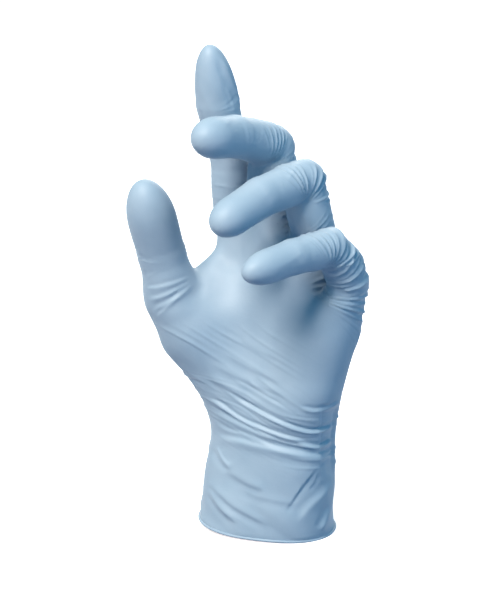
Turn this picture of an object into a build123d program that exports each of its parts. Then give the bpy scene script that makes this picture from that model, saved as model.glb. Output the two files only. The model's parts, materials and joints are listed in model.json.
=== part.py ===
"""Disposable nitrile examination glove, worn on a hand that points upwards.

The glove is one dipped film with a rolled hem. It is divided at the lines where it flexes, so
that each finger can be posed: a cuff, a palm, and two or three segments for each finger.
Frame: origin at the centre of the cuff's opening, +Z up the forearm, palm towards -Y and -X.
Lengths are in millimetres and angles in degrees.
"""

import os
from math import cos, radians, sin

from build123d import *

# Film
FILM = 0.12  # thickness of the dipped film
GAP = 0.35  # clearance between two nested segments
NEST = FILM + GAP  # how much smaller a nested end is than the end around it
FOLD_CLEARANCE = 2  # angle left between two edges at the limit of a joint

# Rolled hem
BEAD_HEIGHT = 1.2
BEAD_WIDTH = 1.2
BEAD_ROUND = 0.45

# Cuff: height, centre x, half width, half depth and turn of each oval section
CUFF_SECTIONS = [
    (BEAD_HEIGHT, 0.0, 30.8, 23.5, 20),
    (24.0, 1.6, 30.2, 21.8, 28),
    (46.0, 3.0, 30.0, 20.0, 34),
]

# Wrist
WRIST_CENTRE = Vector(3, 0, 44)
WRIST_TURN = 34
WRIST_HALF_WIDTH = 30.0
WRIST_HALF_DEPTH = 20.0
WRIST_BACK = 25  # range of the wrist towards the back of the hand
WRIST_FRONT = 30  # range of the wrist towards the palm
WRIST_SLOT = 24  # half angle of the opening between cuff and palm
WRIST_SLOT_MARGIN = 6  # length of barrel kept beyond each end of that opening

# Palm: height, centre x, half width, half depth, turn and slant of each oval section
PALM_SECTIONS = [
    (WRIST_CENTRE.Z, 3.0, WRIST_HALF_WIDTH - NEST, WRIST_HALF_DEPTH - NEST, WRIST_TURN, 0),
    (62.0, 3.2, 33.0, 18.5, 37, 0),
    (80.0, 4.6, 36.5, 16.5, 39, 3),
    (100.0, 7.4, 38.5, 14.5, 40, 10),
    (116.0, 9.0, 37.0, 12.0, 42, 18),
]
STUB_LENGTH = 34  # length of each finger's stub, from its root down into the palm
THUMB_STUB_LENGTH = 11
STUB_TAPER = 0.75  # radius of a stub's buried end, as a share of its finger's

# Base of the thumb: a tapered lobe from low in the palm to the thumb's stub
LOBE_START = Vector(-15, 8, 58)
LOBE_START_RADIUS = 15.0
LOBE_END = Vector(-38, 6.6, 91)
LOBE_END_RADIUS = 11.5

# Web between the thumb and the index finger
WEB_START = Vector(-36, 7.5, 93)
WEB_START_RADIUS = 9.5
WEB_END = Vector(-16, 17, 109)
WEB_END_RADIUS = 9.0

# Fingers. turn is where the finger bends towards, measured from -Y towards -X; splay leans the
# straight finger towards +X. lengths run from joint to joint, and the last one ends at the
# centre of the rounded tip. flex is the bend of each joint as worn, and ranges are the least
# and the greatest bend. radii are those of the film at each joint and at the tip.
FINGERS = {
    "thumb": {
        "root": Vector(-41, 5, 103), "turn": -30, "splay": -16,
        "segments": ("proximal", "tip"),
        "lengths": (21, 27), "flex": (2, 6), "ranges": ((-15, 20), (0, 55)),
        "radii": (10.8, 10.0, 7.8),
    },
    "index": {
        "root": Vector(-15, 20, 137), "turn": 38, "splay": -2,
        "segments": ("proximal", "middle", "tip"),
        "lengths": (25, 25, 22), "flex": (5, 8, 3), "ranges": ((-10, 45), (0, 75), (0, 45)),
        "radii": (8.8, 8.4, 8.4, 6.4),
    },
    "middle": {
        "root": Vector(3, 9, 141), "turn": 40, "splay": -1,
        "segments": ("proximal", "middle", "tip"),
        "lengths": (28, 26, 20), "flex": (2, 70, 11), "ranges": ((-10, 50), (0, 95), (0, 50)),
        "radii": (9.2, 8.8, 8.8, 7.4),
    },
    "ring": {
        "root": Vector(20.5, -3.5, 133), "turn": 46, "splay": 0,
        "segments": ("proximal", "middle", "tip"),
        "lengths": (26, 26, 20), "flex": (15, 84, 13), "ranges": ((-10, 50), (0, 95), (0, 50)),
        "radii": (9.0, 8.6, 8.6, 6.8),
    },
    "little": {
        "root": Vector(35, -17.5, 115), "turn": 50, "splay": 1,
        "segments": ("proximal", "middle", "tip"),
        "lengths": (21, 20, 17), "flex": (35, 58, 8), "ranges": ((-5, 50), (0, 85), (0, 50)),
        "radii": (8.6, 7.9, 7.4, 6.2),
    },
}
HOOD = 60  # a knuckle that never bends backwards is covered to this angle past its pivot
TUCK = 145  # how far round the pivot a nested end reaches under the back of its neighbour


def facing(turn):
    """Return the level directions towards the palm side and across it, for one turn."""
    angle = radians(turn)
    return Vector(-sin(angle), -cos(angle), 0), Vector(cos(angle), -sin(angle), 0)


def oval_plane(height, centre_x, turn, slant=0):
    """Return the plane of one oval section, with its x direction across the hand."""
    front, across = facing(turn)
    across = across * cos(radians(slant)) - Vector(0, 0, 1) * sin(radians(slant))
    return Plane(origin=(centre_x, 0, height), x_dir=across, z_dir=front.cross(across))


def joint_planes(finger):
    """Return one plane for each joint: x towards the palm side, y along the next segment.

    The first entry of each pair is the plane before the joint's bend, the second after it.
    """
    front, across = facing(finger["turn"])
    splay = radians(finger["splay"])
    along = Vector(0, 0, 1) * cos(splay) + across * sin(splay)
    hinge = along.cross(front)
    planes = []
    centre = finger["root"]
    bend = 0
    for length, flex in zip(finger["lengths"], finger["flex"]):
        pair = []
        for angle in (radians(bend), radians(bend + flex)):
            side = front * cos(angle) - along * sin(angle)
            pair.append(Plane(origin=centre, x_dir=side, z_dir=hinge * -1))
        planes.append(tuple(pair))
        bend += flex
        centre = centre + planes[-1][1].y_dir * length
    return planes


def sector_points(start, stop, reach):
    """Return the corners of a pie slice about the pivot, from angle start to angle stop.

    Angles are measured from the segment's direction towards the palm side.
    """
    steps = 6
    points = [(0, 0)]
    for step in range(steps + 1):
        angle = radians(start + (stop - start) * step / steps)
        points.append((reach * sin(angle), reach * cos(angle)))
    return points


def sector(plane, start, stop, reach, half_width):
    """Return a pie slice as thick as the joint is wide, to cut an end open at a joint."""
    with BuildPart() as slice_of_joint:
        with BuildSketch(plane):
            with BuildLine():
                Polyline(*sector_points(start, stop, reach), close=True)
            make_face()
        extrude(amount=half_width, both=True)
    return slice_of_joint.part


def outer_sector(plane, limits, radius):
    """Return what is cut from the end that covers a joint."""
    least, greatest = limits
    hood = -HOOD if least >= 0 else least - 90 - FOLD_CLEARANCE
    front_edge = 90 + greatest / 2 + FOLD_CLEARANCE
    return sector(plane, hood, front_edge, 2 * radius, radius + GAP)


def nested_sector(plane, limits, radius):
    """Return what is cut from the end that is nested in a joint."""
    front_edge = 90 - limits[1] / 2 - FOLD_CLEARANCE
    return sector(plane, front_edge, 360 - TUCK, 2 * radius, radius + GAP)


def finger_tube(plane, length, start_radius, end_radius):
    """Return the film of one segment, from its nested end past its far joint."""
    inside = start_radius - FILM
    with BuildPart() as tube:
        with BuildSketch(plane):
            with BuildLine():
                outer = CenterArc((0, 0), start_radius, -90, 90)
                Polyline(
                    outer @ 1,
                    (end_radius, length),
                    (end_radius, length + end_radius),
                    (end_radius - FILM, length + end_radius),
                    (end_radius - FILM, length),
                    (inside, 0),
                )
                inner = CenterArc((0, 0), inside, -90, 90)
                Line(outer @ 0, inner @ 0)
            make_face()
        revolve(axis=Axis(plane.origin, plane.y_dir))
    return tube.part


def finger_cap(plane, length, start_radius, tip_radius):
    """Return the film of a fingertip, from its nested end to its closed round tip."""
    with BuildPart() as cap:
        with BuildSketch(plane):
            with BuildLine():
                outer = CenterArc((0, 0), start_radius, -90, 90)
                outer_tip = CenterArc((0, length), tip_radius, 0, 90)
                Line(outer @ 1, outer_tip @ 0)
                inner = CenterArc((0, 0), start_radius - FILM, -90, 90)
                inner_tip = CenterArc((0, length), tip_radius - FILM, 0, 90)
                Line(inner @ 1, inner_tip @ 0)
                Line(outer @ 0, inner @ 0)
                Line(outer_tip @ 1, inner_tip @ 1)
            make_face()
        revolve(axis=Axis(plane.origin, plane.y_dir))
    return cap.part


def oval_loft(sections, inset):
    """Return the solid through a list of oval sections, each smaller by inset."""
    with BuildPart() as body:
        for height, centre_x, half_width, half_depth, turn, *slant in sections:
            with BuildSketch(oval_plane(height, centre_x, turn, *slant)):
                Ellipse(half_width - inset, half_depth - inset)
        loft()
    return body.part


def capsule(start, start_radius, end, end_radius):
    """Return a tapered solid with a round end about each of two points."""
    direction = (end - start).normalized()
    length = (end - start).length
    side = direction.cross(Vector(0, 1, 0)).normalized()
    plane = Plane(origin=start, x_dir=side, z_dir=side.cross(direction))
    with BuildPart() as body:
        with BuildSketch(plane):
            with BuildLine():
                near = CenterArc((0, 0), start_radius, -90, 90)
                far = CenterArc((0, length), end_radius, 0, 90)
                Line(near @ 1, far @ 0)
                Line(near @ 0, far @ 1)
            make_face()
        revolve(axis=Axis(start, direction))
    return body.part


def wrist_barrel(inset):
    """Return the round lower end of the palm, which turns inside the cuff."""
    plane = oval_plane(WRIST_CENTRE.Z, WRIST_CENTRE.X, WRIST_TURN)
    half_width = WRIST_HALF_WIDTH - NEST - inset
    half_depth = WRIST_HALF_DEPTH - NEST - inset
    with BuildPart() as barrel:
        with BuildSketch(plane):
            with BuildLine():
                EllipticalCenterArc((0, 0), half_width, half_depth, start_angle=0, arc_size=180)
                Line((half_width, 0), (-half_width, 0))
            make_face()
        revolve(axis=Axis(plane.origin, plane.x_dir * -1), revolution_arc=180)
    return barrel.part


def palm_body(inset):
    """Return the solid inside the palm's surface, with the thumb's lobe and the stubs."""
    sections = list(PALM_SECTIONS)
    height, centre_x, half_width, half_depth, turn, slant = sections[-1]
    sections[-1] = (height - inset, centre_x, half_width, half_depth, turn, slant)
    with BuildPart() as body:
        add(oval_loft(sections, inset))
        add(wrist_barrel(inset))
        add(capsule(LOBE_START, LOBE_START_RADIUS - inset, LOBE_END, LOBE_END_RADIUS - inset))
        add(capsule(WEB_START, WEB_START_RADIUS - inset, WEB_END, WEB_END_RADIUS - inset))
        for finger_name, finger in FINGERS.items():
            along = joint_planes(finger)[0][0].y_dir
            depth = THUMB_STUB_LENGTH if finger_name == "thumb" else STUB_LENGTH
            radius = finger["radii"][0]
            start = finger["root"] - along * depth
            add(capsule(start, STUB_TAPER * radius - inset, finger["root"], radius - inset))
    return body.part


def save(part, name):
    """Label a finished piece and write it."""
    part.label = name
    export_step(part, f"parts/{name}.step")


os.makedirs("parts", exist_ok=True)

# Rolled hem
with BuildPart() as cuff_bead:
    _, hem_x, hem_half_width, hem_half_depth, hem_turn = CUFF_SECTIONS[0]
    with BuildSketch(oval_plane(0, hem_x, hem_turn)):
        outward = (BEAD_WIDTH - FILM) / 2
        inward = (BEAD_WIDTH + FILM) / 2
        Ellipse(hem_half_width + outward, hem_half_depth + outward)
        Ellipse(hem_half_width - inward, hem_half_depth - inward, mode=Mode.SUBTRACT)
    extrude(amount=BEAD_HEIGHT)
    fillet(cuff_bead.edges(), BEAD_ROUND)
save(cuff_bead.part, "cuff_bead")

# Sleeve of the cuff, cut open above the wrist's fold lines
wrist_side, wrist_across = facing(WRIST_TURN)
wrist_plane = Plane(origin=WRIST_CENTRE, x_dir=wrist_side, z_dir=wrist_across * -1)
with BuildPart() as cuff_sleeve:
    add(oval_loft(CUFF_SECTIONS, 0))
    add(oval_loft(CUFF_SECTIONS, FILM), mode=Mode.SUBTRACT)
    add(
        sector(
            wrist_plane,
            -90 - WRIST_BACK - FOLD_CLEARANCE,
            90 + WRIST_FRONT + FOLD_CLEARANCE,
            2 * WRIST_HALF_WIDTH,
            2 * WRIST_HALF_WIDTH,
        ),
        mode=Mode.SUBTRACT,
    )
save(cuff_sleeve.part, "cuff_sleeve")

# Palm
with BuildPart() as palm_shell:
    add(palm_body(0))
    add(palm_body(FILM), mode=Mode.SUBTRACT)
    add(
        sector(
            wrist_plane,
            180 - WRIST_SLOT,
            180 + WRIST_SLOT,
            2 * WRIST_HALF_DEPTH,
            WRIST_HALF_WIDTH - WRIST_SLOT_MARGIN,
        ),
        mode=Mode.SUBTRACT,
    )
    for finger in FINGERS.values():
        root_plane = joint_planes(finger)[0][0]
        root_cut = outer_sector(root_plane, finger["ranges"][0], finger["radii"][0])
        add(root_cut, mode=Mode.SUBTRACT)
save(palm_shell.part, "palm_shell")

# Finger segments
for finger_name, finger in FINGERS.items():
    planes = joint_planes(finger)
    last = len(planes) - 1
    for number, segment_name in enumerate(finger["segments"]):
        near_plane = planes[number][1]
        near_radius = finger["radii"][number] - NEST
        far_radius = finger["radii"][number + 1]
        length = finger["lengths"][number]
        with BuildPart() as segment:
            if number == last:
                add(finger_cap(near_plane, length, near_radius, far_radius))
            else:
                far_plane = planes[number + 1][0]
                add(finger_tube(near_plane, length, near_radius, far_radius))
                far_cut = outer_sector(far_plane, finger["ranges"][number + 1], far_radius)
                add(far_cut, mode=Mode.SUBTRACT)
            near_cut = nested_sector(near_plane, finger["ranges"][number], near_radius)
            add(near_cut, mode=Mode.SUBTRACT)
        save(segment.part, f"{finger_name}_{segment_name}")
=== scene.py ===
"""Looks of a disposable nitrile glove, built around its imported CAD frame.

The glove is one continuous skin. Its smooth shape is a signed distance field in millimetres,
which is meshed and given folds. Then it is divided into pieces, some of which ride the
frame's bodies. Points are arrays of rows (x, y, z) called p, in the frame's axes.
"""

import json
import math

import bpy
import numpy as np
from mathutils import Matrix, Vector


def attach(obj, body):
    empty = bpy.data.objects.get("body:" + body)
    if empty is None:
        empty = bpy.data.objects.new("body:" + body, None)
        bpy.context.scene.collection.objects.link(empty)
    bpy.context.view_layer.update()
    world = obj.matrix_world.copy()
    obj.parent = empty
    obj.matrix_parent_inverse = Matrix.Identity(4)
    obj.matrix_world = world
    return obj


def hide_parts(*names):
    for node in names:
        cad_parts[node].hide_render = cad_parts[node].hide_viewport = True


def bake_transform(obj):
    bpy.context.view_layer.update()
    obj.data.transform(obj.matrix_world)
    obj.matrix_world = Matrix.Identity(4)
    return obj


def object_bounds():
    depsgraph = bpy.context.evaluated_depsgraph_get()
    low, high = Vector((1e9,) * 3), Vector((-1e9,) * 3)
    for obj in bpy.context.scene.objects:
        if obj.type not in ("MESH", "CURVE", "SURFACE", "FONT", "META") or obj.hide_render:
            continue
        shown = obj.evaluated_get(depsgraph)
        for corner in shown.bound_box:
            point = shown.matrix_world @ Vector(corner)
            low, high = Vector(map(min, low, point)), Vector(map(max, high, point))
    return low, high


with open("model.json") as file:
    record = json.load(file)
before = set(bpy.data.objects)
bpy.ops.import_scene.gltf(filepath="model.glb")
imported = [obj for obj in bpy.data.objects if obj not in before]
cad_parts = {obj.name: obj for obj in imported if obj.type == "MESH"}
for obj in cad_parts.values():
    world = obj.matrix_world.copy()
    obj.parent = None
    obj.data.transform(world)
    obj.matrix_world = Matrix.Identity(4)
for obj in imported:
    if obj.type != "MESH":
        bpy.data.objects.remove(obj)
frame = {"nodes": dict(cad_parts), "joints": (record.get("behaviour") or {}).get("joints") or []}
CAD_BOX = [list(corner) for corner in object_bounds()]

MM = 0.001
UP = np.array([0.0, 0.0, 1.0])
VIEW_ELEVATION = math.radians(14.0)  # of the camera above the horizon

# The front plane faces the camera: its own right is +X and its own up is VIEW_RISE
TOWARDS_VIEW = np.array([0, -math.cos(VIEW_ELEVATION), math.sin(VIEW_ELEVATION)])
VIEW_RISE = np.array([0, math.sin(VIEW_ELEVATION), math.cos(VIEW_ELEVATION)])


def unit(vector):
    """Return a vector of length 1."""
    return vector / np.linalg.norm(vector)


def ease(low, high, value):
    """Rise smoothly from 0 at low to 1 at high."""
    t = np.clip((value - low) / (high - low), 0, 1)
    return t * t * (3 - 2 * t)


def window(value, low, high, soft):
    """Be 1 between low and high and fade to 0 outside them."""
    return ease(low - soft, low, value) * ease(high + soft, high, value)


# ---------------------------------------------------------------- skeleton

def joint(name):
    """Return a joint's centre in millimetres and its axis."""
    found = next(j for j in frame["joints"] if j["name"] == name)
    return np.array(found["pos_m"]) / MM, np.array(found["axis"])


def node_points(name):
    """Return a CAD node's vertices in millimetres."""
    mesh = frame["nodes"][name].data
    points = np.empty(len(mesh.vertices) * 3, np.float32)
    mesh.vertices.foreach_get("co", points)
    return points.reshape(-1, 3).astype(float) / MM


def tip_end(name):
    """Return the far end of a finger."""
    centre, _ = joint(f"{name}_end_bend")
    points = node_points(f"{name}_tip")
    reach = np.linalg.norm(points - centre, axis=1)
    return points[reach.argmax()]


# Radii in millimetres at each joint and where the rounded fingertip starts
FINGER_RADII = {
    "thumb": (10.3, 10.0, 10.3),
    "index": (8.2, 8.4, 9.2, 9.3),
    "middle": (9.2, 9.6, 9.0, 9.0),
    "ring": (9.1, 8.4, 8.5, 8.3),
    "little": (8.3, 7.9, 7.5, 7.3),
}
# How long the rounded fingertip is
TIP_LENGTH = {"thumb": 19.0, "index": 26.5, "middle": 13.0, "ring": 12.0, "little": 14.0}
# How far the skin's fingertip stands from the CAD's, in millimetres
TIP_SHIFT = {
    "thumb": (-2.0, 0, 0.4),
    "index": (1.8, 0, -0.3),
    "middle": (2.0, 0.5, -0.8),
    "ring": (-1.8, -1.6, 0.6),
    "little": (-3.2, -2.8, 0.6),
}
INDEX_BOW = (0.9, 0, 0)  # how far the index finger bows out at its middle joint
# How far each bone's flesh swells out, and how far it leans to the palm side
SWELLS = {
    "thumb": ((0.3, 0.5),),
    "index": ((0.2, 0.3), (0.2, 0.4)),
    "middle": ((0.9, 1.2), (0.2, -0.6)),
    "ring": ((0.9, 0.9), (0.4, 0.2)),
    "little": ((0.7, -1.4), (0.3, 0.2)),
}


def finger_skeleton(name):
    """Return a finger's joint centres with the end of its tip, and its flexing axis."""
    stages = ("root", "end") if name == "thumb" else ("root", "middle", "end")
    centres = [joint(f"{name}_{stage}_bend")[0] for stage in stages]
    axis = joint(f"{name}_root_bend")[1]
    if name == "thumb":
        axis = -axis  # the thumb's joints count opening as positive
    if name == "index":
        centres[1] = centres[1] + INDEX_BOW
    centres.append(tip_end(name) + np.array(TIP_SHIFT[name]))
    return np.array(centres), axis


SKELETON = {name: finger_skeleton(name) for name in FINGER_RADII}


def bone_directions(name):
    """Return the direction of each bone of a finger, from its root to its tip."""
    centres, _ = SKELETON[name]
    return [unit(b - a) for a, b in zip(centres[:-1], centres[1:])]


# ---------------------------------------------------------------- distance fields

def smooth_min(a, b, k):
    """Blend two distance fields over a width of about k."""
    h = np.clip(0.5 + 0.5 * (b - a) / k, 0, 1)
    return b + (a - b) * h - k * h * (1 - h)


def round_cone(p, a, b, r1, r2):
    """Return the signed distance to two spheres and the cone around them."""
    axis = b - a
    length2 = axis @ axis
    narrowing = r1 - r2
    flank2 = length2 - narrowing * narrowing  # square of the cone's straight side
    off = p - a
    from_a = off @ axis
    from_b = from_a - length2
    # Squares of the distances across and along the axis, scaled by the axis's length
    across2 = ((off * length2 - from_a[:, None] * axis) ** 2).sum(1)
    along_a2 = from_a * from_a * length2
    along_b2 = from_b * from_b * length2
    side = (np.sqrt(across2 * flank2 / length2) + from_a * narrowing) / length2 - r1
    ball_a = np.sqrt(across2 + along_a2) / length2 - r1
    ball_b = np.sqrt(across2 + along_b2) / length2 - r2
    turning = np.sign(narrowing) * narrowing * narrowing * across2
    beyond_b = np.sign(from_b) * flank2 * along_b2 > turning
    before_a = np.sign(from_a) * flank2 * along_a2 < turning
    return np.where(beyond_b, ball_b, np.where(before_a, ball_a, side))


def swollen_bone(p, a, b, r1, r2, swell, axis, palmward):
    """Return the distance to a rounded bone whose flesh swells and leans between its ends."""
    ab = b - a
    t = np.clip((p - a) @ ab / (ab @ ab), 0, 1)
    bow = (t * (1 - t) * 4) ** 2
    lean = np.cross(axis, unit(ab)) * palmward
    radius = r1 + (r2 - r1) * t * t * (3 - 2 * t) + swell * bow
    off = p - a - t[:, None] * ab - bow[:, None] * lean
    return np.sqrt((off * off).sum(1)) - radius


def fingertip(p, a, end, r1, r2, length):
    """Return the distance to the last bone, rounded off like half an egg of a given length."""
    way = unit(end - a)
    straight = max(np.linalg.norm(end - a) - length, 0.5)
    along = (p - a) @ way
    t = np.clip(along / straight, 0, 1)
    radius = r1 + (r2 - r1) * t * t * (3 - 2 * t)
    past = np.maximum(along - straight, 0) * (1 - r2 / length)
    off = p - a - (t * straight + past)[:, None] * way
    return np.sqrt((off * off).sum(1)) - radius


def triangle(p, a, b, c, thickness):
    """Return the distance to a rounded triangle."""
    ba, cb, ac = b - a, c - b, a - c
    pa, pb, pc = p - a, p - b, p - c
    normal = np.cross(ba, ac)

    def edge(point, side):
        t = np.clip(point @ side / (side @ side), 0, 1)
        return ((side * t[:, None] - point) ** 2).sum(1)

    outside = (
        np.sign(pa @ np.cross(ba, normal))
        + np.sign(pb @ np.cross(cb, normal))
        + np.sign(pc @ np.cross(ac, normal))
    ) < 2
    edges = np.minimum(np.minimum(edge(pa, ba), edge(pb, cb)), edge(pc, ac))
    face = (pa @ normal) ** 2 / (normal @ normal)
    return np.sqrt(np.where(outside, edges, face)) - thickness


# Oval sections of the hand from hem to finger crotches: height, centre x and y, half width,
# half depth and turn of the wide axis
HAND_SECTIONS = np.array([
    (-6.0, 0.0, 0.0, 30.2, 23.2, 19),
    (0.0, 0.2, 0.0, 30.0, 23.0, 20),
    (14.0, 1.0, 0.0, 29.3, 22.0, 25),
    (28.0, 1.9, 0.0, 28.6, 20.8, 30),
    (40.0, 2.7, 0.0, 28.3, 19.8, 33),
    (52.0, 3.2, 0.0, 29.2, 19.0, 36),
    (66.0, 3.6, 0.0, 33.0, 17.6, 38),
    (82.0, 5.6, 0.0, 35.4, 16.2, 39),
    (100.0, 9.3, -1.0, 35.6, 14.4, 40),
    (118.0, 11.5, -1.0, 34.6, 12.0, 42),
    (140.0, 12.5, -1.0, 33.0, 9.5, 43),
    (160.0, 12.5, -1.0, 33.0, 9.5, 43),
])


def smooth_table(table):
    """Resample a table of sections at every millimetre of height, rounded at its corners."""
    heights = np.arange(table[0, 0], table[-1, 0])
    rows = np.stack([np.interp(heights, table[:, 0], column) for column in table.T], 1)
    reach = 7
    kernel = np.hanning(2 * reach + 1)
    kernel /= kernel.sum()
    padded = np.pad(rows, ((reach, reach), (0, 0)), mode="edge")
    for i in range(1, rows.shape[1]):
        rows[:, i] = np.convolve(padded[:, i], kernel, mode="valid")
    return rows


HAND_ROWS = smooth_table(HAND_SECTIONS)


def hand_frame(p):
    """Return position across and in front of the hand's centre line, and the section's sizes."""
    row = [np.interp(p[:, 2], HAND_ROWS[:, 0], HAND_ROWS[:, i]) for i in range(1, 6)]
    cx, cy, half_width, half_depth, turn = row
    turn = np.radians(turn)
    x, y = p[:, 0] - cx, p[:, 1] - cy
    across = x * np.cos(turn) - y * np.sin(turn)
    front = -x * np.sin(turn) - y * np.cos(turn)
    return across, front, half_width, half_depth


# How far the palm's top stands from each finger's root joint, and how it falls off past them
CROTCH_RISE = np.array([-4.0, -3.0, -6.0, -4.0])
CROTCH_DROP = 2  # of the crotch beside the little finger, below its root's top
SHOULDER_WIDTH = 12
SHOULDER_DROP = 9


def crotch_height(across):
    """Return how high the palm reaches below the fingers, at places across the hand."""
    roots = np.array([SKELETON[n][0][0] for n in ("index", "middle", "ring", "little")])
    index, middle, ring, little = hand_frame(roots)[0]
    tops = roots[:, 2] + CROTCH_RISE
    crotch = ring + 0.45 * (little - ring)
    places = [index - SHOULDER_WIDTH, index, middle, ring, crotch, little, little + SHOULDER_WIDTH]
    heights = [tops[0] - SHOULDER_DROP, tops[0], tops[1], tops[2], tops[3] - CROTCH_DROP, tops[3],
               tops[3] - SHOULDER_DROP]
    return np.interp(across, places, heights)


def palm_field(p):
    """Return the signed distance to the cuff, wrist and palm without fingers."""
    across, front, half_width, half_depth = hand_frame(p)
    power = 2.25  # a little squarer than an ellipse
    u, n = np.abs(across) / half_width, np.abs(front) / half_depth
    size = (u ** power + n ** power) ** (1 / power)  # 1 on the outline
    slope = np.sqrt(
        (u ** (power - 1) / half_width) ** 2 + (n ** (power - 1) / half_depth) ** 2
    ) / np.maximum(size, 1e-6) ** (power - 1)
    d = (size - 1) / np.maximum(slope, 1e-3)
    d = np.where(size < 0.3, -(1 - size) * half_depth, d)
    top = p[:, 2] - crotch_height(across)
    return -smooth_min(-d, -top, 7.0)


# Landmarks of the hand: the mounds of the thumb and the little finger, the web's low corner,
# the flat film between the mounds, and where the hand bones behind the fingers run together
THUMB_MOUND_LOW = np.array([-10.5, 5.0, 56.0])
THUMB_MOUND_HIGH = np.array([-32.0, 4.5, 88.0])
LITTLE_MOUND_LOW = np.array([12.0, -12.5, 58.0])
LITTLE_MOUND_HIGH = np.array([23.0, -16.0, 92.0])
WEB_LOW = np.array([-14.0, 1.0, 76.0])
HOLLOW_LOW = np.array([-12.0, -5.0, 68.0])
HOLLOW_MIDDLE = np.array([-5.0, -3.0, 98.0])
HOLLOW_HIGH = np.array([-23.0, 7.0, 112.0])
PALM_ROOT = np.array([6.0, -2.0, 20.0])
WEB_THICKNESS = 4.5
HOLLOW_THICKNESS = 2.5
KNUCKLE_DEPTH = 22  # of a finger's knuckle below its root joint
HAND_BONE_LENGTH = 34


def mounds(p):
    """Yield the signed distance to each soft mound of the palm, and its blending width."""
    thumb_root = SKELETON["thumb"][0][0]
    yield round_cone(p, THUMB_MOUND_LOW, THUMB_MOUND_HIGH, 13.0, 13.8), 9.0
    yield round_cone(p, THUMB_MOUND_HIGH, thumb_root, 13.0, 10.5), 6.0
    yield round_cone(p, LITTLE_MOUND_LOW, LITTLE_MOUND_HIGH, 9.0, 10.0), 9.0


def web_field(p):
    """Return the signed distance to the web between thumb and index finger."""
    thumb_side = SKELETON["thumb"][0][0] + (3, -1, -1)
    index_side = SKELETON["index"][0][0] + (-2, -4, -17)
    return triangle(p, WEB_LOW, thumb_side, index_side, WEB_THICKNESS)


def hollow_field(p):
    """Return the signed distance to the film stretched flat over the hollow of the palm."""
    mound = SKELETON["thumb"][0][0] + (4, -5, -8)
    lower = triangle(p, HOLLOW_LOW, mound, HOLLOW_MIDDLE, HOLLOW_THICKNESS)
    upper = triangle(p, mound, HOLLOW_MIDDLE, HOLLOW_HIGH, HOLLOW_THICKNESS)
    return smooth_min(lower, upper, 6.0)


def hand_bone_field(name, p):
    """Return the signed distance to the hand bone behind a finger, and its knuckle."""
    centres, axis = SKELETON[name]
    radius = FINGER_RADII[name][0]
    straight = unit(centres[0] - PALM_ROOT)
    back = -np.cross(axis, straight)
    knuckle = centres[0] - straight * KNUCKLE_DEPTH
    deep = knuckle - straight * HAND_BONE_LENGTH
    near = round_cone(p, knuckle + back * 1.5, centres[0], radius + 0.3, radius)
    far = round_cone(p, deep, knuckle + back * 1.0, 8.0, radius)
    return smooth_min(near, far, 5.0)


def finger_field(name, p):
    """Return the signed distance to one finger, from inside the palm to its tip."""
    centres, axis = SKELETON[name]
    radii = FINGER_RADII[name]
    parts = [] if name == "thumb" else [hand_bone_field(name, p)]
    for i, (swell, palmward) in enumerate(SWELLS[name]):
        parts.append(swollen_bone(p, centres[i], centres[i + 1], radii[i], radii[i + 1],
                                  swell, axis, palmward))
    parts.append(fingertip(p, centres[-2], centres[-1], radii[-2], radii[-1], TIP_LENGTH[name]))
    d = parts[0]
    for part in parts[1:]:
        d = smooth_min(d, part, 1.2)
    return d


def body_field(p):
    """Return the signed distance to the whole glove."""
    base = palm_field(p)
    for mound, width in mounds(p):
        base = smooth_min(base, mound, width)
    base = smooth_min(base, hollow_field(p), 9.0)
    thumb = smooth_min(finger_field("thumb", p), web_field(p), 3.0)
    base = smooth_min(base, thumb, 8.0)
    fingers = None
    for name in ("index", "middle", "ring", "little"):
        one = smooth_min(base, finger_field(name, p), 6.0)
        fingers = one if fingers is None else smooth_min(fingers, one, 0.8)
    return fingers


# ---------------------------------------------------------------- mesh of the whole skin

GRID_STEP = 1.15  # millimetres; subdividing halves it
GRID_MARGIN = 8  # round the CAD box
GRID_BOTTOM = -4.5  # under z = 0, where the skin is cut off


def surface_nets(grid):
    """Return the points, in grid steps, and the quads of the surface where grid crosses zero."""
    cells = [n - 1 for n in grid.shape]
    offsets = [(i, j, k) for i in (0, 1) for j in (0, 1) for k in (0, 1)]
    corners = np.stack([
        grid[i:cells[0] + i, j:cells[1] + j, k:cells[2] + k] for i, j, k in offsets
    ], -1)
    inside = corners < 0
    active = inside.any(-1) & ~inside.all(-1)
    number = np.full(active.shape, -1)
    number[active] = np.arange(active.sum())
    values = corners[active]
    places = np.array(offsets, float)
    total = np.zeros((len(values), 3))
    crossings = np.zeros(len(values))
    for one in range(8):
        for other in range(one + 1, 8):
            if np.abs(places[one] - places[other]).sum() != 1:
                continue
            a, b = values[:, one], values[:, other]
            crossed = (a < 0) != (b < 0)
            t = np.where(crossed, a / np.where(crossed, a - b, 1), 0)[:, None]
            total += np.where(crossed[:, None], places[one] + (places[other] - places[one]) * t, 0)
            crossings += crossed
    points = np.argwhere(active) + total / crossings[:, None]
    quads = []
    for axis in range(3):
        side, up = (axis + 1) % 3, (axis + 2) % 3
        near = np.take(grid, range(grid.shape[axis] - 1), axis)
        far = np.take(grid, range(1, grid.shape[axis]), axis)
        for entering in (False, True):
            crossed = (near >= 0) & (far < 0) if entering else (near < 0) & (far >= 0)
            edge = np.argwhere(crossed)
            edge = edge[(edge[:, side] > 0) & (edge[:, up] > 0)]
            edge = edge[(edge[:, side] < cells[side]) & (edge[:, up] < cells[up])]
            ring = []
            for du, dv in ((1, 1), (0, 1), (0, 0), (1, 0)):
                cell = edge.copy()
                cell[:, side] -= du
                cell[:, up] -= dv
                ring.append(number[tuple(cell.T)])
            quad = np.stack(ring, 1)
            quads.append(quad[:, ::-1] if entering else quad)
    return points, np.concatenate(quads)


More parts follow.
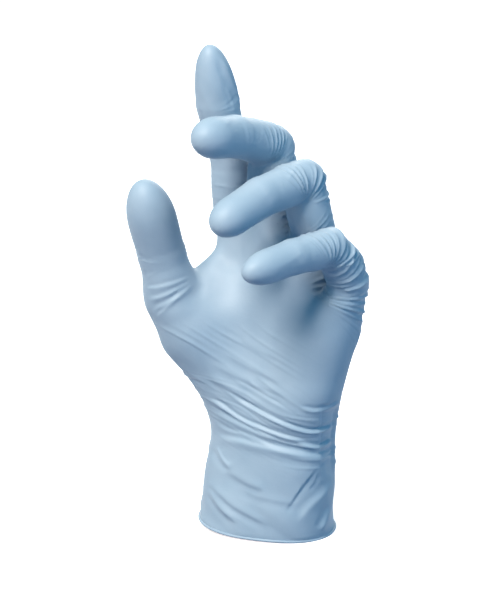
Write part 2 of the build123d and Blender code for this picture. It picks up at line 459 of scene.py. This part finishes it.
def field_surface(step):
    """Return the mesh of the field's surface, open below the hem, from a grid of a given step."""
    low = np.array(CAD_BOX[0]) / MM - GRID_MARGIN
    high = np.array(CAD_BOX[1]) / MM + GRID_MARGIN
    low[2] = GRID_BOTTOM
    counts = np.ceil((high - low) / step).astype(int)
    axes = [low[i] + np.arange(counts[i]) * step for i in range(3)]
    grid = np.empty(counts, np.float32)
    for i, x in enumerate(axes[0]):
        y, z = np.meshgrid(axes[1], axes[2], indexing="ij")
        p = np.stack([np.full(y.size, x), y.ravel(), z.ravel()], 1)
        grid[i] = body_field(p).reshape(y.shape)
    points, quads = surface_nets(grid)
    return points * step + low, quads


def gradient(field, p, eps=0.05):
    """Return the field's gradient at each point."""
    g = np.empty_like(p)
    for i in range(3):
        d = np.zeros(3)
        d[i] = eps
        g[:, i] = (field(p + d) - field(p - d)) / (2 * eps)
    return g


def project(field, p, rounds=2):
    """Move points onto the field's surface."""
    for _ in range(rounds):
        g = gradient(field, p)
        p = p - g * (field(p) / np.maximum((g * g).sum(1), 0.05))[:, None]
    return p


def subdivide(points, quads):
    """Split every quad into four."""
    sides = np.stack([quads, np.roll(quads, -1, 1)], -1).reshape(-1, 2)
    edges, which = np.unique(np.sort(sides, 1), axis=0, return_inverse=True)
    which = which.reshape(-1, 4) + len(points)
    middles = points[edges].mean(1)
    centres = points[quads].mean(1)
    centre = np.arange(len(quads)) + len(points) + len(edges)
    parts = [
        np.stack([quads[:, i], which[:, i], centre, which[:, i - 1]], 1) for i in range(4)
    ]
    return np.concatenate([points, middles, centres]), np.concatenate(parts)


def relax(points, quads, rounds, share=0.5):
    """Even out the mesh with small moves towards each point's neighbours."""
    sides = np.stack([quads, np.roll(quads, -1, 1)], -1).reshape(-1, 2)
    both = np.concatenate([sides, sides[:, ::-1]])
    count = np.bincount(both[:, 0], minlength=len(points))[:, None]
    for _ in range(rounds):
        total = np.stack([
            np.bincount(both[:, 0], points[both[:, 1], i], len(points)) for i in range(3)
        ], 1)
        points = points + share * (total / count - points)
    return points


def vertex_normals(points, quads):
    """Return area-weighted normals of a quad mesh."""
    crossed = np.cross(points[quads[:, 2]] - points[quads[:, 0]],
                       points[quads[:, 3]] - points[quads[:, 1]])
    total = np.zeros_like(points)
    for i in range(3):
        for corner in range(4):
            total[:, i] += np.bincount(quads[:, corner], crossed[:, i], len(points))
    return total / np.maximum(np.linalg.norm(total, axis=1), 1e-12)[:, None]


def calm_share(points, quads):
    """Return how much each point belongs to the front of the palm, where the film is taut."""
    facing = ease(0.1, 0.5, vertex_normals(points, quads) @ TOWARDS_VIEW)
    share = facing * window(points @ VIEW_RISE, 66, 110, 12)
    for name, (centres, _) in SKELETON.items():
        above = ease(-9, 1, (points - centres[0]) @ bone_directions(name)[0])
        share *= 1 - above * ease(7.0, 2.5, finger_field(name, points))
    return share[:, None]


# ---------------------------------------------------------------- folds

LATTICE = np.random.default_rng(11).random((64, 64))


def noise(u, v, seed=0, period=64):
    """Return smooth random values from 0 to 1 over a plane, repeating along v."""
    u = u + 17.37 * seed
    i, j = np.floor(u).astype(int), np.floor(v).astype(int)
    fu, fv = u - i, v - j
    fu, fv = fu * fu * (3 - 2 * fu), fv * fv * (3 - 2 * fv)
    j0, j1 = (j % period + 5 * seed) % 64, ((j + 1) % period + 5 * seed) % 64
    low = LATTICE[i % 64, j0] * (1 - fu) + LATTICE[(i + 1) % 64, j0] * fu
    high = LATTICE[i % 64, j1] * (1 - fu) + LATTICE[(i + 1) % 64, j1] * fu
    return low * (1 - fv) + high * fv


def fold_rows(across, along, spacing, length, seed, period=64, crest=0.35, power=1.6, cut=0.35):
    """Return rows of folds a spacing apart, each fading in and out along its length."""
    drift = noise(across / (3.1 * spacing), along / (1.4 * length), seed, period)
    phase = across / spacing + 1.3 * drift
    row = np.floor(phase)
    t = phase - row
    slope = np.where(t < crest, t / crest, (1 - t) / (1 - crest))
    strength = noise(row * 7.31, along / length, seed + 3, period)
    return slope ** power * np.clip((strength - cut) / (0.8 - cut), 0, 1)


def line_distance(x, v, line, reach, ends):
    """Find points near a smooth line in the front plane: which, how far right of it, and taper."""
    line = np.array(line, float)
    share = np.linspace(0, 1, len(line))
    fine = np.linspace(0, 1, 4 * len(line) + 1)
    smooth = np.stack([np.interp(fine, share, line[:, i]) for i in range(2)], 1)
    for _ in range(3):
        smooth[1:-1] = (smooth[:-2] + 2 * smooth[1:-1] + smooth[2:]) / 4
    low, high = smooth.min(0) - reach, smooth.max(0) + reach
    near = np.where((x > low[0]) & (x < high[0]) & (v > low[1]) & (v < high[1]))[0]
    best = np.full(len(near), 1e9)
    side = np.zeros(len(near))
    place = np.zeros(len(near))
    q = np.stack([x[near], v[near]], 1)
    for i in range(len(smooth) - 1):
        a, ab = smooth[i], smooth[i + 1] - smooth[i]
        t = np.clip((q - a) @ ab / (ab @ ab), 0, 1)
        off = q - a - t[:, None] * ab
        d = np.hypot(off[:, 0], off[:, 1])
        closer = d < best
        cross = off[:, 0] * ab[1] - off[:, 1] * ab[0]
        best = np.where(closer, d, best)
        side = np.where(closer, np.sign(cross), side)
        place = np.where(closer, (i + t) / (len(smooth) - 1), place)
    return near, best * side, ease(0, ends, place) * ease(1, 1 - ends, place)


def line_fold(x, v, line, width, height, hollow):
    """Return a crest along a line in the front plane, with a hollow on the line's right."""
    near, d, taper = line_distance(x, v, line, 5 * width, 0.25)
    lead = np.where(d > 0, d / (0.8 * width), d / (1.6 * width))
    shape = np.exp(-lead ** 2) - hollow * np.exp(-((d - 1.9 * width) / (1.2 * width)) ** 2)
    result = np.zeros(len(x))
    result[near] = height * shape * taper
    return result


def step_fold(x, v, line, drop, recover):
    """Return a fold whose right side lies sharply lower and recovers over a distance."""
    near, d, taper = line_distance(x, v, line, 3 * recover, 0.3)
    result = np.zeros(len(x))
    result[near] = -drop * ease(-0.6, 0.6, d) * np.exp(-np.maximum(d, 0) / recover) * taper
    return result


def fan_folds(p, near, centre, axis, bones, radius, height, seed, spacing=12.0, reach=3.3,
              spread=46, outset=1.35):
    """Return creases that fan out from the inside of a bent joint."""
    middle = unit(bones[0] + bones[1])
    back = -np.cross(axis, middle)
    pivot = centre - back * radius * outset
    d = p - pivot
    out, along, side = d @ back, d @ middle, d @ axis
    angle = np.degrees(np.arctan2(along, out))
    bend = math.degrees(math.acos(np.clip(bones[0] @ bones[1], -1, 1)))
    distance = np.hypot(out, along) / radius
    rows = fold_rows(angle, side, spacing, 11.0, seed, power=2.4, cut=0.1)
    fine = fold_rows(angle, side, spacing * 0.55, 6.0, seed + 1)
    mask = window(angle, -bend / 2, bend / 2, spread)
    mask *= ease(reach, 0.5 * reach, distance) * ease(0.2, 0.7, distance)
    return height * near * mask * (rows + 0.3 * fine)


def ring_lines(p, near, centre, bone, axis, high, spacing, height, seed):
    """Return fine lines across a straight stretch of a finger."""
    along = (p - centre) @ bone
    side = (p - centre) @ axis
    rows = fold_rows(along + 0.012 * side ** 2, side, spacing, 9.0, seed, crest=0.5, power=2.5)
    return height * near * window(along, 2, high, 2.5) * rows


# Folds on the front of the glove, drawn in the front plane in millimetres: the line,
# its width, its height, and how deep the hollow on its right is
FRONT_FOLDS = (
    # across the wrist, from the little finger side up to the thumb side
    (((20, 38.6), (10, 40), (-2, 44), (-12, 48), (-20, 54), (-27, 58)), 0.65, 0.75, 0.8),
    (((31, 46), (27, 44), (19, 42.6), (10, 45), (-1, 50), (-12, 56), (-22, 63)), 0.65, 0.85, 0.9),
    (((12, 51), (2, 56), (-8, 62), (-16, 66)), 0.7, 0.35, 0.6),
    (((4, 57), (-3, 61), (-8, 65)), 0.7, 0.4, 0.5),
    (((33, 57), (27, 53), (20, 52), (13, 54)), 0.7, 0.5, 0.7),
    (((31, 39), (22, 35.5), (12, 38.5)), 0.8, 0.7, 0.8),
    (((24, 33), (14, 33.5), (2, 36), (-8, 41), (-17, 42.5), (-25, 47)), 0.8, 0.4, 0.6),
    (((30, 32.5), (20, 31.5), (4, 34.5), (-12, 38.5), (-24, 39.5)), 1.4, 0.8, 0.5),
    (((6, 38.5), (-4, 42), (-15, 47), (-25, 52)), 0.9, 0.45, 0.7),
    # loose folds in the cuff
    (((-22, 36), (-19, 30), (-15, 26)), 1.2, 0.5, 0.8),
    (((-25, 16), (-20, 8), (-12, 1.5)), 1.4, 0.7, 0.7),
    (((-26, 20), (-14, 9), (2, 1)), 1.3, 0.5, 0.6),
    (((-13, 19), (-5, 14.5), (8, 12.2), (15, 11)), 1.3, 0.22, 0.6),
    (((-18, 26), (-8, 20), (0, 17.5)), 1.4, 0.4, 0.6),
    (((28, 10), (25.5, 4), (23, -1)), 1.2, 0.6, 0.8),
    (((30, 22), (25, 16), (18, 10), (13, 2)), 1.5, 0.5, 0.6),
    # tension across the palm
    (((-24, 73), (-10, 65), (12, 58)), 1.5, 0.35, 0.5),
    (((-20, 78), (-6, 70), (8, 64)), 1.4, 0.3, 0.5),
    (((-27, 68), (-14, 60), (0, 53)), 1.4, 0.45, 0.6),
    (((-12, 84), (-5, 79), (6, 74)), 1.3, 0.22, 0.5),
    # from the thumb's web towards its root
    (((-31, 108), (-37, 102), (-44, 98), (-50, 95)), 0.9, 0.38, 0.6),
    (((-31.5, 109), (-38, 104.5), (-46, 101), (-52, 100)), 0.8, 0.32, 0.6),
    (((-32, 110), (-40, 107), (-48, 105), (-53, 105)), 0.8, 0.28, 0.6),
    (((-35, 105), (-42, 98), (-48, 92)), 0.8, 0.26, 0.6),
    # along the right of the index fingertip
    (((-20.5, 205), (-16.5, 197), (-13, 189), (-10.8, 182)), 1.3, 0.6, 0.8),
    (((-18, 193), (-15, 186), (-13.5, 181)), 0.9, 0.3, 0.6),
)


# Sharp folds: the line, how far its right side drops, and over what distance it recovers
FRONT_STEPS = (
    (((7, 6), (11, 12.5), (14.5, 18), (18.5, 23.5), (22, 28.5)), 0.85, 4.0),
    (((17.5, 17), (20.5, 20.5), (22.3, 26)), 0.5, 2.5),
    (((-15, 27), (-19, 31), (-22, 37)), 0.5, 3.0),
)


SIDE_CREASE = 22.3  # x of the upright crease on the little finger side
WRIST_MIDDLE = 2.5  # x round which the wrist's and the cuff's folds turn

# How high the creases fan up inside each bent joint past the root
FAN_HEIGHTS = {
    "thumb": (0.22,),
    "index": (0.22, 0.22),
    "middle": (1.2, 0.1),
    "ring": (1.2, 0.1),
    "little": (1.2, 0.1),
}
# The fans at the finger roots: height, and reach and pivot distance in finger radii
ROOT_FANS = {
    "index": (0.8, 2.9, 1.6),
    "middle": (0.8, 2.9, 1.6),
    "ring": (0.8, 2.9, 1.6),
    "little": (1.1, 6.2, 2.3),
}


def hem_rise(p):
    """Return how far the hem stands above the floor, which is least at the front right."""
    around = np.arctan2(p[:, 0], -p[:, 1])
    lean = 0.5 - 0.5 * np.cos(around - math.radians(38))
    return 0.35 + 3.6 * lean ** 1.3 + 0.35 * np.cos(3 * around)


def drawn_folds(p):
    """Return the height of the folds drawn in the front plane."""
    x, v = p[:, 0], p @ VIEW_RISE
    height = np.zeros(len(p))
    for line, width, rise, hollow in FRONT_FOLDS:
        height += line_fold(x, v, line, width, rise, hollow)
    for line, drop, recover in FRONT_STEPS:
        height += step_fold(x, v, line, drop, recover)
    return height


def side_drop(p):
    """Return how far the film drops behind the upright crease on the little finger side."""
    x, v = p[:, 0], p @ VIEW_RISE
    past = x - SIDE_CREASE - 0.5 * noise(v / 3, v * 0, 31)
    return window(v, 27, 50, 6) * (0.4 * ease(-0.3, 1.2, past) + 0.16 * np.clip(past, 0, 8))


def unevenness(p, hand):
    """Return soft bumps all over, weaker on the fingers."""
    x, y, z = p.T
    bumps = 0.30 * (noise(x / 9 + 0.3 * z / 9, z / 11, 1) - 0.5)
    bumps += 0.22 * (noise(y / 8, (z - x) / 10, 2) - 0.5)
    return bumps * (0.35 + 0.65 * hand)


def wrist_rings(p, front):
    """Return rings of folds that lean from the thumb side to the little finger side."""
    around = np.arctan2(p[:, 0] - WRIST_MIDDLE, -p[:, 1])
    turn = around / (2 * math.pi)
    level = p[:, 2] - 8 * np.cos(around + math.radians(110))
    coarse = 0.62 * fold_rows(level, turn * 7, 4.2, 1, 3, period=7) * (1 - 0.6 * front)
    fine = 0.28 * fold_rows(level, turn * 11, 2.1, 1, 4, period=11)
    return window(level, 41, 60, 9) * (coarse + fine)


def cuff_folds(p, front):
    """Return the loose film of the cuff, with slanting folds that are weaker at the front."""
    x, v, z = p[:, 0], p @ VIEW_RISE, p[:, 2]
    turn = np.arctan2(x - WRIST_MIDDLE, -p[:, 1]) / (2 * math.pi)
    height = 1.5 * (noise(z / 26, turn * 8, 5, period=8) - 0.5)
    height += 0.7 * (noise(z / 13, turn * 13, 6, period=13) - 0.5)
    height += 0.9 * front * (noise((x + 1.4 * v) / 11, (1.4 * x - v) / 34, 32) - 0.5)
    clear_of_seam = ease(0.5, 0.42, np.abs(turn))  # where turn jumps, at the back
    for seed, slant, strength in ((7, 104.5, 0.42), (8, -104.5, 0.12)):
        rows = fold_rows(z + slant * turn, z / 20, 9.5, 1.0, seed, crest=0.3, cut=0.45)
        height += strength * (1 - 0.7 * front) * rows * clear_of_seam
    return height * ease(46, 30, z)


def palm_lines(p):
    """Return fine tension lines that slant down across the palm."""
    x, v = p[:, 0], p @ VIEW_RISE
    slant = math.radians(33)
    across = x * math.sin(slant) + v * math.cos(slant)
    along = x * math.cos(slant) - v * math.sin(slant)
    rows = fold_rows(across, along / 16, 3.0, 1, 9, cut=0.4)
    return 0.42 * window(p[:, 2], 64, 86, 12) * ease(26, -8, x) * rows


def back_lines(p):
    """Return the soft tendons on the back of the hand, and the film's creases across them."""
    z = p[:, 2]
    across = hand_frame(p)[0]
    tendons = fold_rows(across + 0.05 * (z - 60), z / 34, 8.5, 1, 10,
                        crest=0.5, power=1.3, cut=0.3)
    creases = fold_rows(z + 0.25 * across, across / 15, 5.0, 1, 12, cut=0.5)
    return 0.35 * window(z, 62, 122, 16) * tendons + 0.12 * window(z, 55, 120, 12) * creases


def finger_slack(name, p, near, seed):
    """Return slack folds that run along each bone of a finger."""
    centres, axis = SKELETON[name]
    height = np.zeros(len(p))
    for i, bone in enumerate(bone_directions(name)):
        d = p - centres[i]
        along = d @ bone
        flesh = np.arctan2(d @ axis, d @ np.cross(axis, bone))
        slack = fold_rows(flesh / 0.75 + 0.03 * along, along / 11, 1, 1, seed + i, cut=0.5)
        span = window(along, 3, np.linalg.norm(centres[i + 1] - centres[i]) - 8, 4)
        height += 0.22 * near * span * slack * ease(3.0, 2.4, np.abs(flesh))
    return height


def finger_folds(name, p, distance, seed):
    """Return the folds of one finger: fans inside its bent joints, slack and fine rings."""
    centres, axis = SKELETON[name]
    radii = FINGER_RADII[name]
    bones = bone_directions(name)
    near = ease(3.5, 1.0, distance)
    height = np.zeros(len(p))
    for i, rise in enumerate(FAN_HEIGHTS[name], 1):
        height += fan_folds(p, near, centres[i], axis, (bones[i - 1], bones[i]),
                            radii[i], rise, seed + 10 * i)
    if name in ROOT_FANS:
        rise, reach, outset = ROOT_FANS[name]
        close = np.maximum(near, ease(9, 3, distance))
        hand_bone = unit(centres[0] - PALM_ROOT)
        height += fan_folds(p, close, centres[0], axis, (hand_bone, bones[0]), radii[0], rise,
                            seed + 5, spacing=9.5, reach=reach, spread=52, outset=outset)
        height += finger_slack(name, p, near, seed + 40)
    if name == "index":
        height += ring_lines(p, near, centres[0], bones[0], axis, 19, 2.6, 0.22, 60)
        height += ring_lines(p, near, centres[1], bones[1], axis, 18, 3.4, 0.12, 61)
    return height


def displacement(p, normal):
    """Return how far each point stands above the smooth glove, in millimetres."""
    front = ease(0.0, 0.35, normal @ TOWARDS_VIEW)
    rear = ease(0.0, 0.35, -(normal @ TOWARDS_VIEW))
    distances = {name: finger_field(name, p) for name in SKELETON}
    on_finger = np.zeros(len(p))
    for name, (centres, _) in SKELETON.items():
        past_root = ease(0, 6, (p - centres[0]) @ bone_directions(name)[0])
        on_finger = np.maximum(on_finger, ease(3.5, 1.0, distances[name]) * past_root)
    hand = 1 - on_finger

    height = front * (drawn_folds(p) - side_drop(p))
    height += unevenness(p, hand)
    height += hand * wrist_rings(p, front)
    height += cuff_folds(p, front)
    height += hand * front * palm_lines(p)
    height += hand * rear * back_lines(p)
    for seed, name in enumerate(SKELETON, 20):
        height += finger_folds(name, p, distances[name], seed)
    return height * ease(-1.0, 2.5, p[:, 2])


# ---------------------------------------------------------------- pieces

SEGMENTS = {
    "thumb": ("proximal", "tip"),
    "index": ("proximal", "middle", "tip"),
    "middle": ("proximal", "middle", "tip"),
    "ring": ("proximal", "middle", "tip"),
    "little": ("proximal", "middle", "tip"),
}
PIECE_WORDS = {"proximal": "root_skin", "middle": "middle_skin", "tip": "tip_skin"}
WRIST_LOW, WRIST_HIGH = 26.0, 62.0  # where the wrist's piece of skin starts and ends
CROTCH_CUT = 1.0  # where a finger's own skin starts, above its root joint
FINGER_REACH = 8  # how far from a finger's field the skin is still its own
SEGMENT_SHARES = (0.66, 0.47)  # where along its first two bones a finger is divided
# The thumb's skin starts at a plane in the web and stays on its own side of it
THUMB_START = np.array([-26.5, 12.0, 114.0])
THUMB_END = np.array([-36.0, 6.5, 121.0])
THUMB_WAY = unit(THUMB_END - THUMB_START)
THUMB_SIDE = -24
THUMB_CUT = 2  # how far before its end joint the thumb is divided


def segment_cuts(name):
    """Return a point and a direction for each plane that divides a finger."""
    centres, _ = SKELETON[name]
    bones = bone_directions(name)
    if name == "thumb":
        return [(centres[1] - bones[0] * THUMB_CUT, bones[0])]
    chord = unit(bones[0] + bones[1])
    return [(start + (end - start) * share, unit(bone + chord))
            for start, end, bone, share in zip(centres, centres[1:], bones, SEGMENT_SHARES)]


def split_labels(p):
    """Return the number of the piece that each point belongs to, and the pieces' names."""
    pieces = ["cuff_skin", "wrist_skin", "palm_skin"]
    label = np.where(p[:, 2] < WRIST_LOW, 0, np.where(p[:, 2] < WRIST_HIGH, 1, 2))
    distances = np.stack([finger_field(name, p) for name in SKELETON], 1)
    nearest = distances.argmin(1)
    for number, (name, (centres, _)) in enumerate(SKELETON.items()):
        if name == "thumb":
            own = ((p - THUMB_START) @ THUMB_WAY > 0) & (p[:, 0] < THUMB_SIDE)
        else:
            own = (p - centres[0]) @ bone_directions(name)[0] > CROTCH_CUT
            own &= distances[:, number] < FINGER_REACH
        own &= nearest == number
        segment = np.zeros(len(p), int)
        for i, (point, direction) in enumerate(segment_cuts(name)):
            segment += (segment == i) & ((p - point) @ direction > 0)
        for i, word in enumerate(SEGMENTS[name]):
            label[own & (segment == i)] = len(pieces)
            pieces.append(f"{name}_{PIECE_WORDS[word]}")
    return label, pieces


def make_piece(name, points, normals, quads, material):
    """Build one smooth piece of skin from part of the whole mesh."""
    used, index = np.unique(quads, return_inverse=True)
    mesh = bpy.data.meshes.new(name)
    mesh.from_pydata((points[used] * MM).tolist(), [], index.reshape(-1, 4).tolist())
    mesh.polygons.foreach_set("use_smooth", np.ones(len(quads), bool))
    mesh.update()
    rest = mesh.attributes.new("rest_place", "FLOAT_VECTOR", "POINT")
    rest.data.foreach_set("vector", points[used].astype(np.float32).ravel())
    mesh.normals_split_custom_set_from_vertices(normals[used].tolist())
    mesh.materials.append(material)
    piece = bpy.data.objects.new(name, mesh)
    bpy.context.scene.collection.objects.link(piece)
    return piece


def rim_line(points, quads, count):
    """Return an evenly turned, smoothed line round the skin's open rim."""
    edges = np.stack([quads, np.roll(quads, -1, 1)], -1).reshape(-1, 2)
    edges, uses = np.unique(np.sort(edges, 1), axis=0, return_counts=True)
    rim = points[np.unique(edges[uses == 1])]
    around = np.arctan2(rim[:, 0], -rim[:, 1])
    turns = np.linspace(-math.pi, math.pi, count, endpoint=False)
    line = np.stack([np.interp(turns, around, column, period=2 * math.pi) for column in rim.T], 1)
    for _ in range(3):
        line = (np.roll(line, 1, 0) + 2 * line + np.roll(line, -1, 0)) / 4
    return line


BEAD_RADIUS = 0.62
BEAD_LIFT = 0.2
BEAD_SIDES = 14
BEAD_STEPS = 360


def hem_bead(points, quads, material):
    """Roll the rim of the skin into a thin closed bead."""
    line = rim_line(points, quads, BEAD_STEPS)
    out = line * (1, 1, 0)
    out /= np.linalg.norm(out, axis=1)[:, None]
    turns = np.arange(BEAD_SIDES) * 2 * math.pi / BEAD_SIDES
    ring = line[:, None] + BEAD_RADIUS * (np.cos(turns)[None, :, None] * out[:, None]
                                          + np.sin(turns)[None, :, None] * UP)
    ring = ring.reshape(-1, 3) + BEAD_LIFT * UP
    index = np.arange(BEAD_STEPS * BEAD_SIDES).reshape(BEAD_STEPS, BEAD_SIDES)
    ahead = np.roll(index, -1, 0)
    faces = np.stack([index, ahead, np.roll(ahead, -1, 1), np.roll(index, -1, 1)], -1)
    faces = faces.reshape(-1, 4)
    return make_piece("hem_bead", ring, vertex_normals(ring, faces), faces, material)


# ---------------------------------------------------------------- materials

def film_material():
    """Return the pale blue film: satin, a little cloudy and finely grained."""
    material = bpy.data.materials.new("nitrile_film")
    material.use_nodes = True
    nodes, links = material.node_tree.nodes, material.node_tree.links
    shader = nodes["Principled BSDF"]
    shader.inputs["Roughness"].default_value = 0.52
    shader.inputs["IOR"].default_value = 1.45
    shader.inputs["Sheen Weight"].default_value = 0.1
    shader.inputs["Sheen Roughness"].default_value = 0.5
    shader.inputs["Sheen Tint"].default_value = (0.9, 0.95, 1, 1)

    place = nodes.new("ShaderNodeAttribute")
    place.attribute_name = "rest_place"

    def noise_texture(scale, detail):
        texture = nodes.new("ShaderNodeTexNoise")
        texture.inputs["Scale"].default_value = scale
        texture.inputs["Detail"].default_value = detail
        links.new(place.outputs["Vector"], texture.inputs["Vector"])
        return texture

    cloud = noise_texture(0.09, 3)
    tint = nodes.new("ShaderNodeValToRGB")
    tint.color_ramp.elements[0].position = 0.3
    tint.color_ramp.elements[0].color = (0.330, 0.430, 0.525, 1)
    tint.color_ramp.elements[1].position = 0.7
    tint.color_ramp.elements[1].color = (0.370, 0.465, 0.555, 1)
    links.new(cloud.outputs["Fac"], tint.inputs["Fac"])
    links.new(tint.outputs["Color"], shader.inputs["Base Color"])

    wrinkle = noise_texture(0.9, 4)
    bump = nodes.new("ShaderNodeBump")
    bump.inputs["Strength"].default_value = 0.35
    bump.inputs["Distance"].default_value = 0.00015
    links.new(wrinkle.outputs["Fac"], bump.inputs["Height"])
    links.new(bump.outputs["Normal"], shader.inputs["Normal"])
    return material


def glowing_material(name, color, roughness, glow, strength):
    """Return a plain material that also gives off light of its own."""
    material = bpy.data.materials.new(name)
    material.use_nodes = True
    shader = material.node_tree.nodes["Principled BSDF"]
    shader.inputs["Base Color"].default_value = color
    shader.inputs["Roughness"].default_value = roughness
    shader.inputs["Emission Color"].default_value = glow
    shader.inputs["Emission Strength"].default_value = strength
    return material


# ---------------------------------------------------------------- making the glove

CALM_ROUNDS = 110  # of smoothing on the front of the palm


def glove_mesh():
    """Return the points, quads and normals of the whole folded skin, in millimetres."""
    points, quads = field_surface(GRID_STEP)
    points = project(body_field, relax(points, quads, 2), 2)
    points = relax(points, quads, CALM_ROUNDS, 0.6 * calm_share(points, quads))
    points, quads = subdivide(points, quads)
    points = relax(points, quads, 2)
    calm = calm_share(points, quads)
    points = points * calm + project(body_field, points, 2) * (1 - calm)
    normals = vertex_normals(points, quads)
    points = points + normals * displacement(points, normals)[:, None]

    quads = quads[points[quads][:, :, 2].max(1) > 0.02]
    points[:, 2] = np.maximum(points[:, 2], 0)
    points[:, 2] += hem_rise(points) * ease(34, 0, points[:, 2])
    return points, quads, vertex_normals(points, quads)


film = film_material()
points, quads, normals = glove_mesh()
label, piece_names = split_labels(points[quads].mean(1))
skins = [make_piece(name, points, normals, quads[label == number], film)
         for number, name in enumerate(piece_names)]
cuff, wrist, palm = skins[:3]
bead = hem_bead(points, quads, film)
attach(bead, "cuff")
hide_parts("cuff_bead")
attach(cuff, "cuff")
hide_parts("cuff_sleeve")
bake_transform(wrist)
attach(palm, "palm")
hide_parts("palm_shell")


def bend_finger(name, first):
    """Bake each piece of a finger in place and hide the CAD body under it, from the piece numbered
    first.
    """
    centres, _ = SKELETON[name]
    for i, word in enumerate(SEGMENTS[name]):
        number, body, pivot = first + i, f"{name}_{word}", centres[i]
        if name == "thumb" and not i:
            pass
        elif word == "tip":
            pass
        else:
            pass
        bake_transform(skins[number])
        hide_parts(body)


for finger, words in SEGMENTS.items():
    bend_finger(finger, piece_names.index(f"{finger}_{PIECE_WORDS[words[0]]}"))


# ---------------------------------------------------------------- floor, camera and lights

bpy.ops.mesh.primitive_plane_add(size=80)
floor = bpy.context.active_object
floor.name = "floor"
floor.data.materials.append(
    glowing_material("white_paper", (0.82, 0.82, 0.82, 1), 0.9, (1, 0.92, 0.88, 1), 0.9))
floor.visible_diffuse = False

# A white backdrop all round, which is only seen and lights nothing
bpy.ops.mesh.primitive_uv_sphere_add(segments=64, ring_count=32, radius=38)
backdrop = bpy.context.active_object
backdrop.name = "backdrop"
backdrop.data.materials.append(
    glowing_material("white_backdrop", (0, 0, 0, 1), 1, (1, 1, 1, 1), 1))
backdrop.visible_diffuse = False
backdrop.visible_glossy = False
backdrop.visible_shadow = False

CAMERA_DISTANCE = 1.1  # metres
CAMERA_TARGET = np.array([-0.0074, 0.0, 0.1026])
camera = bpy.data.objects.new("camera", bpy.data.cameras.new("camera"))
bpy.context.scene.collection.objects.link(camera)
camera.location = CAMERA_TARGET + TOWARDS_VIEW * CAMERA_DISTANCE
camera.rotation_euler = (math.pi / 2 - VIEW_ELEVATION, 0, 0)
camera.data.lens = 151.3
bpy.context.scene.camera = camera
bpy.context.scene.view_settings.view_transform = "Standard"

GLOVE_MIDDLE = (0, 0, 0.1)  # metres


def area_light(name, place, size, power, color):
    """Add a soft square light that points at the glove, with its sizes in metres."""
    data = bpy.data.lights.new(name, "AREA")
    data.size = size
    data.energy = power
    data.color = color
    light = bpy.data.objects.new(name, data)
    light.location = place
    way = Vector(GLOVE_MIDDLE) - Vector(place)
    light.rotation_euler = way.to_track_quat("-Z", "Y").to_euler()
    bpy.context.scene.collection.objects.link(light)


area_light("key", (-0.56, -0.86, 1.32), 0.7, 37.5, (1, 0.925, 0.835))
area_light("fill", (1.3, -0.9, 0.5), 1.0, 3.8, (0.05, 0.52, 1))
area_light("back", (0.25, 1.25, 0.75), 0.9, 11, (1, 0.93, 0.86))


def studio_sky():
    """Return a pale sky over a cool, darker ground, which lights the glove softly."""
    world = bpy.data.worlds.new("studio")
    world.use_nodes = True
    nodes, links = world.node_tree.nodes, world.node_tree.links
    direction = nodes.new("ShaderNodeTexCoord")
    parts = nodes.new("ShaderNodeSeparateXYZ")
    links.new(direction.outputs["Generated"], parts.inputs["Vector"])
    height = nodes.new("ShaderNodeMapRange")
    height.inputs["From Min"].default_value = -0.35
    height.inputs["From Max"].default_value = 0.45
    links.new(parts.outputs["Z"], height.inputs["Value"])
    sky = nodes.new("ShaderNodeValToRGB")
    sky.color_ramp.elements[0].color = (0.0, 0.20, 0.60, 1)
    sky.color_ramp.elements[1].color = (0.2, 0.70, 1.0, 1)
    links.new(height.outputs["Result"], sky.inputs["Fac"])
    links.new(sky.outputs["Color"], nodes["Background"].inputs["Color"])
    nodes["Background"].inputs["Strength"].default_value = 0.43
    return world


bpy.context.scene.world = studio_sky()

bpy.context.view_layer.update()
